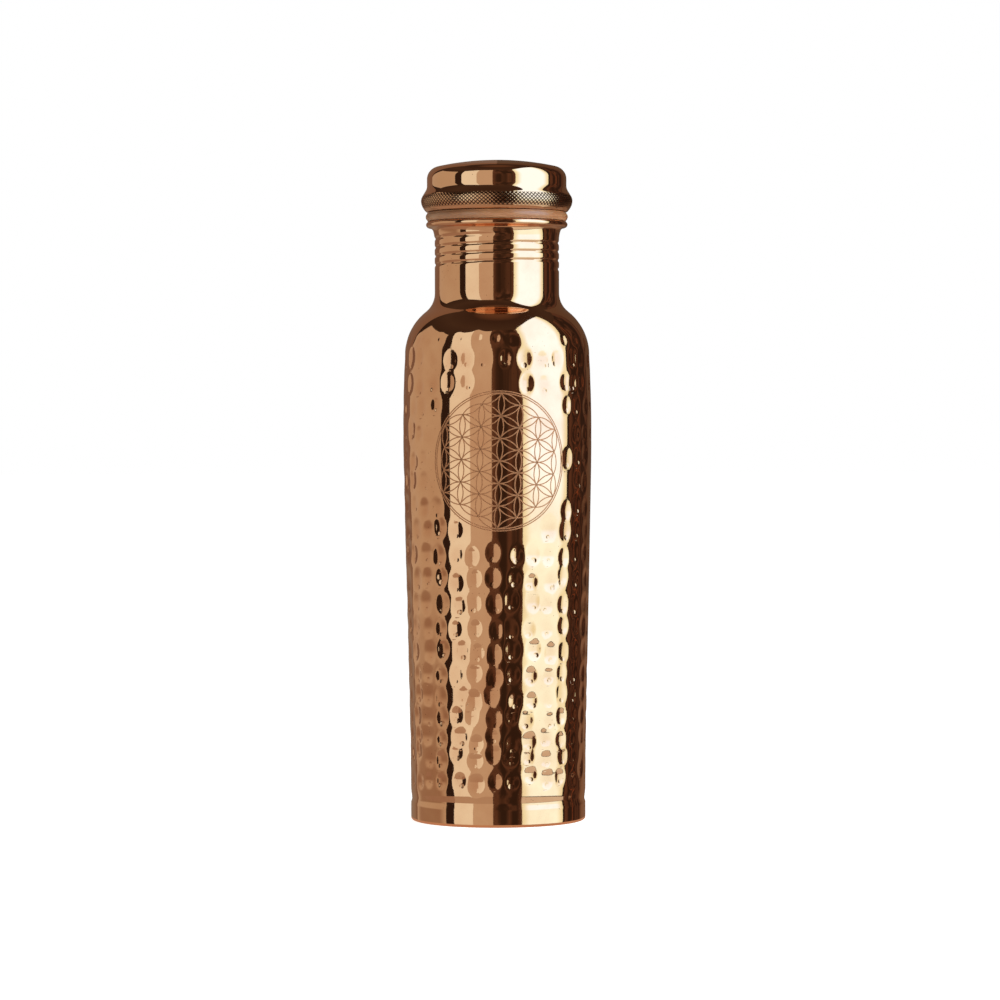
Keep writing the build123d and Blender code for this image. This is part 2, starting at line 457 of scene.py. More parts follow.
@dataclass(frozen=True)
class LightTable:
    """White acrylic lit from below: pale, even, and it still takes a soft shadow."""

    name: str = "light table acrylic"
    colour: str = "FAFAFA"
    glow: float = 0.97

    def material(self) -> bpy.types.Material:
        """Build the floor's node tree.

        Returns:
            The finished material.
        """
        material, tree, output = new_material(self.name)
        sheet = add_node(tree, "BsdfPrincipled", {
            "Base Color": linear(self.colour), "Roughness": 0.6,
            "Emission Color": linear(self.colour), "Emission Strength": self.glow})
        tree.links.new(sheet.outputs[0], output.inputs[0])
        return material


# ---------------------------------------------------------------- mesh tools


@dataclass
class Outline:
    """Half-section of a turned piece as (radius, height) points, in millimetres."""

    points: list[Point]

    def line(self, r: float, z: float, step: float = 0.0) -> "Outline":
        """Add a straight stretch.

        Args:
            r: radius of its end.
            z: height of its end.
            step: longest distance between its points, or nought for the end alone.

        Returns:
            The outline itself.
        """
        start_r, start_z = self.points[-1]
        count = max(1, math.ceil(math.hypot(r - start_r, z - start_z) / step)) if step else 1
        for i in range(1, count + 1):
            share = i / count
            self.points.append((start_r + (r - start_r) * share, start_z + (z - start_z) * share))
        return self

    def arc(self, centre: Point, radius: float, start: float, end: float, step: float) -> "Outline":
        """Add a round stretch, from just after its start to its end.

        Args:
            centre: its centre.
            radius: its radius.
            start: angle of its start in degrees, from the outward direction.
            end: angle of its end.
            step: longest distance between its points.

        Returns:
            The outline itself.
        """
        count = max(2, math.ceil(abs(math.radians(end - start)) * radius / step))
        for i in range(count + 1):
            turn = math.radians(start + (end - start) * i / count)
            self.points.append((centre[0] + radius * math.cos(turn), centre[1] + radius * math.sin(turn)))
        return self

    def follow(self, radius_at: Callable[[float], float], z_from: float, z_to: float,
               step: float) -> "Outline":
        """Add a stretch whose radius is a function of height.

        Args:
            radius_at: radius for a height.
            z_from: height that it starts from.
            z_to: height that it ends at.
            step: distance between its rows.

        Returns:
            The outline itself.
        """
        for z in np.linspace(z_from, z_to, max(2, round(abs(z_to - z_from) / step) + 1)):
            self.points.append((float(radius_at(float(z))), float(z)))
        return self

    def tidy(self, gap: float = 0.01) -> np.ndarray:
        """Drop points that repeat the one before, and return the rest as an array.

        Args:
            gap: points nearer than this to the last one kept are dropped.

        Returns:
            An array of radius and height.
        """
        kept = [self.points[0]]
        for point in self.points[1:]:
            if math.dist(point, kept[-1]) > gap:
                kept.append(point)
        if math.dist(kept[0], kept[-1]) <= gap:
            kept.pop()
        return np.array(kept)


class FairCurve:
    """Smooth curve through a few stations, with a set slope at each end."""

    def __init__(self, stations: list[Point], start_slope: float, end_slope: float) -> None:
        """Solve for the curvature at each station.

        Args:
            stations: (height, radius), in rising order of height.
            start_slope: change of radius with height at the first station.
            end_slope: the same at the last.
        """
        self.z, self.r = (np.array(values, dtype=float) for values in zip(*stations))
        gaps, steps = np.diff(self.z), np.diff(self.r) / np.diff(self.z)
        count = len(stations)
        system, wanted = np.zeros((count, count)), np.zeros(count)
        system[0, :2] = 2 * gaps[0], gaps[0]
        wanted[0] = 6 * (steps[0] - start_slope)
        for i in range(1, count - 1):
            system[i, i - 1:i + 2] = gaps[i - 1], 2 * (gaps[i - 1] + gaps[i]), gaps[i]
            wanted[i] = 6 * (steps[i] - steps[i - 1])
        system[-1, -2:] = gaps[-1], 2 * gaps[-1]
        wanted[-1] = 6 * (end_slope - steps[-1])
        self.bend = np.linalg.solve(system, wanted)

    def at(self, height: Any) -> Any:
        """Radius at a height, or at an array of heights.

        Args:
            height: one height, or an array of them.

        Returns:
            A radius for each height.
        """
        i = np.clip(np.searchsorted(self.z, height) - 1, 0, len(self.z) - 2)
        gap = self.z[i + 1] - self.z[i]
        below, above = (self.z[i + 1] - height) / gap, (height - self.z[i]) / gap
        sag = ((below ** 3 - below) * self.bend[i] + (above ** 3 - above) * self.bend[i + 1]) * gap ** 2 / 6
        return below * self.r[i] + above * self.r[i + 1] + sag


def ease(share: Any) -> Any:
    """Smooth step from nought to one."""
    held = np.clip(share, 0.0, 1.0)
    return held * held * (3 - 2 * held)


@dataclass(frozen=True)
class Helix:
    """A single-start right-hand thread line round the axis, in millimetres and turns."""

    start_z: float
    pitch: float
    begin: float
    end: float
    half_width: float
    fade: float = 0.1

    def shape(self, theta: np.ndarray, z: np.ndarray) -> np.ndarray:
        """How far into the thread's form each place is, from nought beside it to one on its line.

        Args:
            theta: angle about the axis.
            z: height.

        Returns:
            The form's height, run out at both ends of the thread.
        """
        lead = np.mod(theta, FULL_TURN) / FULL_TURN
        run = np.round((z - self.start_z) / self.pitch - lead) + lead
        off = np.abs(z - self.start_z - self.pitch * run) / self.half_width
        ends = ease((run - self.begin) / self.fade) * ease((self.end - run) / self.fade)
        return np.where(off < 1, np.cos(off * math.pi / 2) ** 2, 0.0) * ends


def object_from(name: str, corners: Any, faces: Any) -> bpy.types.Object:
    """Make an object from corners in metres and faces, with its faces turned outwards.

    Args:
        name: the piece's name.
        corners: coordinates of its vertices.
        faces: vertex numbers of its faces.

    Returns:
        The new object, in the scene.
    """
    mesh = bpy.data.meshes.new(name)
    mesh.from_pydata(corners, [], faces)
    shape = bmesh.new()
    shape.from_mesh(mesh)
    bmesh.ops.recalc_face_normals(shape, faces=shape.faces)
    shape.to_mesh(mesh)
    shape.free()
    piece = bpy.data.objects.new(name, mesh)
    bpy.context.scene.collection.objects.link(piece)
    return piece


def turned(name: str, outline: Outline, columns: int, rise: Rise | None = None,
           crease: float = 40.0) -> bpy.types.Object:
    """Turn an outline about the axis.

    An outline that touches the axis is closed by a point there, and any other is a closed ring.

    Args:
        name: the piece's name.
        outline: its half-section.
        columns: how many stations go round it.
        rise: outward shift in millimetres for an angle, a radius and a height.
        crease: edges sharper than this many degrees stay sharp.

    Returns:
        The new object.
    """
    section = outline.tidy()
    low_pole, high_pole = (section[end, 0] < AXIS_GAP for end in (0, -1))
    rows = section[int(low_pole):len(section) - int(high_pole)]
    theta = np.linspace(0, FULL_TURN, columns, endpoint=False)[None, :]
    r, z = rows[:, 0][:, None], rows[:, 1][:, None]
    radius = r + (rise(theta, r, z) if rise else 0.0) + 0 * theta
    grid = np.stack([radius * np.cos(theta), radius * np.sin(theta), z + 0 * theta], axis=-1).reshape(-1, 3)
    corners = (grid * MM).tolist()
    count = len(rows)
    ring = not (low_pole or high_pole)
    faces: list[tuple[int, ...]] = []
    for i in range(count if ring else count - 1):
        here, above = i * columns, (i + 1) % count * columns
        for j in range(columns):
            k = (j + 1) % columns
            faces.append((here + j, here + k, above + k, above + j))
    for pole, row in ((low_pole, 0), (high_pole, count - 1)):
        if pole:
            corners.append((0.0, 0.0, float(section[0 if row == 0 else -1, 1]) * MM))
            tip = len(corners) - 1
            faces += [(row * columns + j, row * columns + (j + 1) % columns, tip) for j in range(columns)]
    piece = object_from(name, corners, faces)
    piece.data.shade_smooth()
    piece.data.set_sharp_from_angle(angle=math.radians(crease))
    return piece


def mark_mesh(piece: bpy.types.Object, name: str, values: np.ndarray) -> None:
    """Store one value for each vertex, for a finish to read.

    Args:
        piece: the object.
        name: the value's name.
        values: a grid of them, in the order of the vertices, short only of a closing point.
    """
    held = np.zeros(len(piece.data.vertices), dtype=np.float32)
    held[:values.size] = values.reshape(-1)
    piece.data.attributes.new(name, "FLOAT", "POINT").data.foreach_set("value", held)


def place(piece: bpy.types.Object, body: Body, slot: Slot, finish: Any, nodes: Iterable[str] = ()) -> None:
    """Dress a piece, put it on its body and hide the CAD nodes that it stands for.

    Args:
        piece: the object.
        body: the body that it rides on.
        slot: not used.
        finish: the finish whose material it gets.
        nodes: the CAD nodes that it replaces.
    """
    piece.data.materials.append(finish.material())
    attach(piece, body.value)
    if nodes:
        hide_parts(*nodes)
    LOG.info("%s: %d faces on %s", piece.name, len(piece.data.polygons), body.value)


def node_z(node: str) -> Point:
    """Lowest and highest height of a CAD node, in millimetres."""
    low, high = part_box(node)
    return low[2] / MM, high[2] / MM


def node_r(node: str) -> float:
    """Largest radius of a CAD node, in millimetres."""
    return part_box(node)[1][0] / MM


# ---------------------------------------------------------------- bottle


@dataclass
class Dent:
    """One hammer mark, or the pit in it: an oval hollow in the unrolled wall.

    A mark's depth is in millimetres. A pit's is the force of its blow, from nought to one.
    """

    theta: float
    z: float
    half_width: float
    half_height: float
    depth: float
    is_pit: bool = False


@dataclass
class HammerWork:
    """The rows of hammer marks that a maker works down the barrel."""

    columns: int = 30
    first_column_deg: float = -90.0
    stagger_deg: tuple[float, float, float] = (0.0, 6.5, -2.5)
    top_rows: tuple[float, float, float] = (192.6, 185.0, 175.5)
    low_row_z: float = 18.0
    wide_pitch: float = 9.7
    close_pitch: float = 8.1
    half_width: float = 3.35
    half_height: float = 4.4
    top_share: float = 0.9
    depth: float = 0.47
    crispness: float = 1.04
    pit_radius: float = 1.15
    pit_drop: float = 0.58
    small_share: float = 0.66
    row_error_deg: float = 0.9
    mark_error_deg: float = 1.25
    height_error: float = 1.1
    seed: int = 11

    def row_heights(self) -> list[float]:
        """Heights of the rows, closer together towards the foot.

        Returns:
            Heights in millimetres, from the top down.
        """
        heights = list(self.top_rows[:2])
        z = self.top_rows[2]
        while z > self.low_row_z:
            heights.append(z)
            share = min(1.0, max(0.0, (z - 40) / 50))
            z -= self.close_pitch + (self.wide_pitch - self.close_pitch) * share
        return heights

    def dents(self, keep_clear: Callable[[float, float], bool]) -> list[Dent]:
        """Lay out every mark.

        Args:
            keep_clear: says whether an angle and a height are in the smooth field.

        Returns:
            The marks, each with its own small error of hand, and the pits in them.
        """
        hand = random.Random(self.seed)
        marks: list[Dent] = []
        for row, height in enumerate(self.row_heights()):
            small = row == 0
            low = min(1.0, max(0.0, (height - 20) / 40))
            spread = 0.35 if row < 3 else 1.15 - 0.55 * low
            first = self.first_column_deg + self.stagger_deg[0 if small else 1 if row < 3 else 2]
            first += hand.gauss(0, self.row_error_deg)
            for column in range(self.columns):
                error = hand.gauss(0, self.mark_error_deg)
                theta = math.radians(first + 360 / self.columns * column + error)
                z = height + hand.gauss(0, self.height_error) * spread
                size = hand.uniform(0.84, 1.12) * (self.top_share if row < 4 else 1.0)
                depth = self.depth * hand.uniform(0.65, 1.25)
                stretch = hand.uniform(0.92, 1.08)
                if keep_clear(theta, z):
                    continue
                wide = self.half_width * size * (self.small_share if small else 1.0)
                tall = wide if small else self.half_height * size * stretch * (0.84 + 0.16 * low)
                marks.append(Dent(theta, z, wide, tall, depth * (0.6 if small else 1.0)))
                if not small:
                    pit = self.pit_radius * hand.uniform(0.75, 1.15)
                    aside = hand.gauss(0, 0.012)
                    force = hand.uniform(0.25, 1.0)
                    marks.append(Dent(theta + aside, z - tall * self.pit_drop, pit, pit, force, True))
        return marks


@dataclass
class Medallion:
    """Ornament etched on the smooth front: overlapping circles inside a double ring."""

    centre_z: float = 144.75
    aside: float = 0.8
    ring_radii: tuple[float, float] = (26.7, 27.5)
    cell: float = 8.85
    hexagon: int = 3
    tilt_deg: float = 2.2
    line_width: float = 0.44
    proud: float = 0.018
    root: float = 0.08
    step: float = 0.75
    clear_radius: float = 31.0

    def in_field(self, theta: float, z: float, radius: float) -> bool:
        """Whether a place on the wall is inside the smooth field round the ornament."""
        across = math.remainder(theta + FULL_TURN / 4, FULL_TURN) * radius
        return math.hypot(across, z - self.centre_z) < self.clear_radius

    def nodes(self) -> list[tuple[int, int]]:
        """Triangular lattice places, as whole steps along two axes 60 degrees apart."""
        span = range(-self.hexagon, self.hexagon + 1)
        return [(a, b) for a in span for b in span if abs(a + b) <= self.hexagon]

    def flat(self, a: float, b: float) -> Point:
        """Lattice place to millimetres across and up the wall, with one axis upright.

        Args:
            a: steps along the upright axis.
            b: steps along the other axis.

        Returns:
            Distance across and up from the ornament's centre.
        """
        turn = math.radians(-self.tilt_deg)
        x, y = b * math.sqrt(3) / 2 * self.cell, (a + b / 2) * self.cell
        return x * math.cos(turn) - y * math.sin(turn), x * math.sin(turn) + y * math.cos(turn)

    def strokes(self) -> list[list[Point]]:
        """Every line of the ornament as points on the unrolled wall.

        Returns:
            A list of points for each line, in millimetres from the ornament's centre.
        """
        lines: list[list[Point]] = []
        places = set(self.nodes())
        around = [(1, 0), (0, 1), (-1, 1), (-1, 0), (0, -1), (1, -1)]
        for a, b in places:
            for i in range(3):
                far = (a + around[i][0], b + around[i][1])
                if far not in places:
                    continue
                for side in (around[(i + 1) % 6], around[(i - 1) % 6]):
                    lines.append(self.petal_side((a, b), far, (a + side[0], b + side[1])))
        for radius in self.ring_radii:
            count = round(FULL_TURN * radius / self.step)
            lines.append([(radius * math.cos(FULL_TURN * i / count), radius * math.sin(FULL_TURN * i / count))
                          for i in range(count + 1)])
        return lines

    def petal_side(self, near: tuple[int, int], far: tuple[int, int], hub: tuple[int, int]) -> list[Point]:
        """One side of a petal: a sixth of the circle about a lattice place.

        Args:
            near: lattice place where the side starts.
            far: lattice place where it ends.
            hub: lattice place at the circle's centre.

        Returns:
            Points along the arc.
        """
        (cx, cy), (sx, sy), (ex, ey) = self.flat(*hub), self.flat(*near), self.flat(*far)
        start = math.atan2(sy - cy, sx - cx)
        sweep = math.remainder(math.atan2(ey - cy, ex - cx) - start, FULL_TURN)
        count = max(2, round(abs(sweep) * self.cell / self.step))
        return [(cx + self.cell * math.cos(start + sweep * i / count),
                 cy + self.cell * math.sin(start + sweep * i / count)) for i in range(count + 1)]

    def build(self, wall: Callable[[float], float]) -> bpy.types.Object:
        """Lay every stroke on the wall as a thin closed ribbon.

        Args:
            wall: outside radius of the wall at a height.

        Returns:
            The ornament.
        """
        corners: list[tuple[float, float, float]] = []
        faces: list[tuple[int, ...]] = []
        for stroke in self.strokes():
            first = len(corners)
            path = np.array(stroke)
            along = np.gradient(path, axis=0)
            along /= np.linalg.norm(along, axis=1)[:, None]
            side = np.stack([-along[:, 1], along[:, 0]], axis=1) * self.line_width / 2
            for point, off in zip(path, side):
                for flat, lift in ((point - off, -self.root), (point + off, -self.root),
                                   (point + off, self.proud), (point - off, self.proud)):
                    corners.append(self.wrapped(flat, lift, wall))
            for i in range(len(path) - 1):
                a, b = first + 4 * i, first + 4 * (i + 1)
                faces += [(a + k, a + (k + 1) % 4, b + (k + 1) % 4, b + k) for k in range(4)]
            last = first + 4 * (len(path) - 1)
            faces += [(first + 3, first + 2, first + 1, first), (last, last + 1, last + 2, last + 3)]
        return object_from("medallion_etching", corners, faces)

    def wrapped(self, flat: np.ndarray, lift: float,
                wall: Callable[[float], float]) -> tuple[float, float, float]:
        """Place of the unrolled wall to metres on the real one.

        Args:
            flat: distance across and up from the ornament's centre.
            lift: distance out from the wall.
            wall: outside radius of the wall at a height.

        Returns:
            Coordinates in metres.
        """
        z = self.centre_z + float(flat[1])
        radius = float(wall(z)) + lift
        theta = -FULL_TURN / 4 + (self.aside + float(flat[0])) / float(wall(z))
        return radius * math.cos(theta) * MM, radius * math.sin(theta) * MM, z * MM


@dataclass
class BottleShell:
    """Drawn and hammered shell, from the hem under the foot to the curled lip and back down inside."""

    wall: float = 0.6
    foot_r: float = 35.15
    foot_corner: float = 1.2
    foot_band_top: float = 7.3
    hem_inner_r: float = 32.6
    barrel_z: float = 160.0
    shoulder_r: float = 22.3
    shoulder_z: float = 187.0
    shoulder_edge_r: float = 37.1
    root_r: float = 9.5
    neck_r: float = 25.0
    neck_top: float = 233.0
    lean_r: float = 13.0
    lean_end_z: float = 236.9
    bead_r: float = 1.25
    lip_r: float = 28.45
    groove_depth: float = 0.42
    band_z: tuple[float, float, float] = (7.5, 8.4, 13.0)
    band_depth: float = 0.42
    thread: Helix = Helix(start_z=221.5, pitch=3.5, begin=-0.1, end=3.8, half_width=0.95)
    columns: int = 300
    fine_row: float = 1.25
    # How far from a pit's middle its place is written down and its blow counts, in pit radii.
    pit_noted: float = 2.6
    pit_struck: float = 2.0
    pit_far: float = 3.0
    hammer: HammerWork = field(default_factory=HammerWork)
    medallion: Medallion = field(default_factory=Medallion)

    def __post_init__(self) -> None:
        """Work out the barrel's curve and the shoulder from the sizes and the frame."""
        self.top_z = node_z("bottle_shell")[1]
        barrel_r = node_r("bottle_shell")
        self.shoulder_c = (self.shoulder_edge_r - self.shoulder_r, self.shoulder_z)
        reach = self.shoulder_r + self.root_r
        across = self.neck_r + self.root_r - self.shoulder_c[0]
        self.root_z = self.shoulder_z + math.sqrt(reach ** 2 - across ** 2)
        self.meet_deg = math.degrees(math.acos(across / reach))
        edge_deg = math.degrees(math.asin(1.0 / self.shoulder_r))
        edge_r = self.shoulder_c[0] + self.shoulder_r * math.cos(math.radians(edge_deg))
        self.edge_deg, self.edge_z = edge_deg, self.shoulder_z + 1.0
        self.curve = FairCurve(
            [(self.foot_band_top, self.foot_r), (45, self.foot_r + 0.5), (88, self.foot_r + 1.45),
             (130, barrel_r - 0.35), (self.barrel_z, barrel_r), (self.edge_z, edge_r)],
            0.0, -math.tan(math.radians(edge_deg)))

    def side_radius(self, z: Any) -> Any:
        """Outside radius of the barrel and shoulder at a height, before hammering.

        Args:
            z: one height, or an array of them.

        Returns:
            A radius for each height.
        """
        round_part = self.shoulder_c[0] + np.sqrt(
            np.maximum(0.0, self.shoulder_r ** 2 - (np.maximum(z, self.shoulder_z) - self.shoulder_z) ** 2))
        return np.where(np.asarray(z) < self.edge_z, self.curve.at(z), round_part)

    def climb(self, outline: Outline, skin: float, rows: tuple[float, float, float]) -> Outline:
        """Add the side from the foot band up to the flare under the lip.

        Args:
            outline: the section so far.
            skin: distance inside the outer face.
            rows: distance between rows on the barrel, the neck and the thread.

        Returns:
            The outline.
        """
        barrel, neck, thread = rows
        outline.follow(lambda z: float(self.side_radius(z)) - skin, self.foot_band_top, self.edge_z, barrel)
        outline.arc(self.shoulder_c, self.shoulder_r - skin, self.edge_deg, self.meet_deg, min(barrel, neck))
        outline.arc((self.neck_r + self.root_r, self.root_z), self.root_r + skin,
                    180 + self.meet_deg, 180, min(neck, 1.4))
        outline.line(self.neck_r - skin, self.thread.start_z - 1.4, neck)
        outline.line(self.neck_r - skin, self.neck_top, thread)
        lean = math.degrees(math.asin((self.lean_end_z - self.neck_top) / self.lean_r))
        outline.arc((self.neck_r + self.lean_r, self.neck_top), self.lean_r + skin, 180, 180 - lean, thread)
        return outline

    def section(self) -> Outline:
        """The sheet's closed half-section.

        Returns:
            The outline, up the outer face and back down the inner one.
        """
        corner = (self.foot_r - self.foot_corner, self.foot_corner)
        bead_c = (self.lip_r - self.bead_r, self.top_z - self.bead_r)
        lean = math.asin((self.lean_end_z - self.neck_top) / self.lean_r)
        under = (bead_c[1] - self.bead_r - self.lean_end_z) / (1 - math.sin(lean))
        lean_end_r = self.neck_r + self.lean_r * (1 - math.cos(lean))
        under_c = (lean_end_r + under * math.cos(lean), self.lean_end_z - under * math.sin(lean))
        outside = Outline([(self.hem_inner_r, 0.0)]).line(corner[0], 0)
        outside.arc(corner, self.foot_corner, -90, 0, 0.3).line(self.foot_r, self.foot_band_top, 1.0)
        self.climb(outside, 0.0, (self.fine_row, 1.5, 0.4))
        outside.arc(under_c, under, 180 - math.degrees(lean), 95, 0.2)
        outside.arc(bead_c, self.bead_r, -88, 190, 0.28)
        inside = Outline([(self.hem_inner_r, self.wall)]).line(corner[0], self.wall)
        inside.arc(corner, self.foot_corner - self.wall, -90, 0, 0.4)
        inside.line(self.foot_r - self.wall, self.foot_band_top)
        self.climb(inside, self.wall, (12.0, 5.0, 0.7))
        inside.line(lean_end_r - self.wall + 0.75, bead_c[1] - 0.8, 1.0)
        return Outline(outside.points + inside.points[::-1])

    def formed_band(self, z: np.ndarray) -> np.ndarray:
        """Shallow set-in line where the barrel was spun down to the foot band."""
        low, deep, high = self.band_z
        return self.band_depth * ease((z - low) / (deep - low)) * ease((high - z) / (high - deep))

    def worked(self, theta: np.ndarray, r: np.ndarray, z: np.ndarray) -> np.ndarray:
        """Outward shift of every place of the sheet: hammer marks outside, thread through both faces.

        Args:
            theta: angle about the axis.
            r: radius before the shift.
            z: height.

        Returns:
            The shift in millimetres.
        """
        shift = -self.groove_depth * self.thread.shape(theta, z)
        outside = (r > self.side_radius(z) - self.wall / 2) & (z > self.foot_band_top) & (z < self.root_z)
        hollows = np.zeros_like(shift)
        self.pit_maps = {name: np.full_like(shift, self.pit_far) for name in ("pit_x", "pit_z")}
        self.pit_maps["pit_near"] = np.zeros_like(shift)

        def smooth(turn: float, height: float) -> bool:
            """Whether a place is in the smooth field round the ornament."""
            return self.medallion.in_field(turn, height, float(self.side_radius(height)))

        for dent in self.hammer.dents(smooth):
            near = np.abs(z[:, 0] - dent.z) < dent.half_height * (self.pit_noted if dent.is_pit else 1.0)
            turn = np.mod(theta[0] - dent.theta + math.pi, FULL_TURN) - math.pi
            across = turn * r[near] / dent.half_width
            along = (z[near] - dent.z) / dent.half_height + 0 * across
            if dent.is_pit:
                self.note_pit(near, across, along, dent.depth)
                continue
            bowl = np.maximum(0.0, 1 - across ** 2 - along ** 2) ** self.hammer.crispness
            hollows[near] = np.maximum(hollows[near], dent.depth * bowl)
        self.dent_map = np.where(outside, hollows / self.hammer.depth, 0.0)
        self.pit_maps["pit_near"] *= outside
        return shift - np.where(outside, hollows + self.formed_band(z), 0.0)

    def note_pit(self, rows: np.ndarray, across: np.ndarray, along: np.ndarray, force: float) -> None:
        """Write down how far the places round a pit are from its middle, in pit radii.

        Args:
            rows: which rows of the grid are near it.
            across: distance round the wall, for those rows.
            along: distance up the wall, for those rows.
            force: how hard the blow was, from nought to one.
        """
        held = np.maximum(np.abs(across), np.abs(along)) < self.pit_noted
        for name, value in (("pit_x", across), ("pit_z", along)):
            self.pit_maps[name][rows] = np.where(held, value, self.pit_maps[name][rows])
        struck = force * (np.hypot(across, along) < self.pit_struck)
        self.pit_maps["pit_near"][rows] = np.where(held, struck, self.pit_maps["pit_near"][rows])

    def build(self) -> None:
        """Make the shell and its ornament."""
        shell = turned("shell_hammered", self.section(), self.columns, self.worked)
        mark_mesh(shell, "dent", self.dent_map)
        for name, values in self.pit_maps.items():
            mark_mesh(shell, name, values)
        # The hammer marks are darkened a little by depth: painted shade.
        copper = Copper("hammered and buffed copper", lay=Lay.ALONG, hollow_shade=0.3)
        place(shell, Body.BOTTLE, Slot.HAMMERED, copper, ["bottle_shell"])
        ornament = self.medallion.build(lambda z: float(self.side_radius(z)))
        place(ornament, Body.BOTTLE, Slot.HAMMERED, EtchedCopper())


@dataclass
class Base:
    """Pressed disc that closes the foot, and the solder that holds it."""

    sheet: float = 0.6
    solder_leg: float = 0.7
    bend: float = 0.5
    columns: int = 200

    def build(self) -> None:
        """Make the disc and its solder."""
        low, high = node_z("base_disc")
        rim_out = node_r("base_disc")
        rim_in = rim_out - self.sheet
        face = high - self.sheet
        disc = Outline([(0.0, face)]).line(rim_in - self.bend, face, 2.0)
        disc.arc((rim_in - self.bend, face - self.bend), self.bend, 90, 0, 0.2)
        disc.line(rim_in, low).line(rim_out, low).line(rim_out, high - self.bend)
        disc.arc((rim_out - self.bend, high - self.bend), self.bend, 0, 90, 0.2).line(0.0, high, 6.0)
        place(turned("base_disc_pressed", disc, self.columns), Body.BOTTLE, Slot.BASE, Copper(
            "pressed copper", bright="EFB48A", tarnish_and_shade="C98258", roughness=(0.16, 0.3)), ["base_disc"])
        seat, top = node_z("base_solder")
        wall_r = node_r("base_solder")
        fillet = Outline([(wall_r, seat)]).line(wall_r, top)
        fillet.arc((wall_r - self.solder_leg, top), self.solder_leg, 0, -90, 0.15)
        place(turned("base_solder_fillet", fillet, self.columns), Body.BOTTLE, Slot.SOLDER, TinSolder(),
              ["base_solder"])


# ---------------------------------------------------------------- washer and lid


@dataclass
class Washer:
    """Silicone washer, a little barrelled by the squeeze."""

    hole_r: float = 24.75
    end_r: float = 27.95
    edge_round: float = 0.35
    columns: int = 256

    def build(self) -> None:
        """Make the washer."""
        low, high = node_z("gasket")
        crest = node_r("gasket")
        middle = (low + high) / 2
        half = (high - low) / 2 - self.edge_round
        bulge = crest - self.end_r

        def side(z: float) -> float:
            """Radius of the barrelled side at a height."""
            return crest - bulge * ((z - middle) / half) ** 2

        ring = Outline([(self.hole_r, low)]).line(self.end_r - self.edge_round, low, 1.2)
        ring.arc((self.end_r - self.edge_round, low + self.edge_round), self.edge_round, -90, 0, 0.15)
        ring.follow(side, middle - half, middle + half, 0.2)
        ring.arc((self.end_r - self.edge_round, high - self.edge_round), self.edge_round, 0, 90, 0.15)
        ring.line(self.hole_r, high, 1.2)
        washer = turned("washer_silicone", ring, self.columns)
        place(washer, Body.WASHER, Slot.SILICONE, Silicone(), ["gasket"])


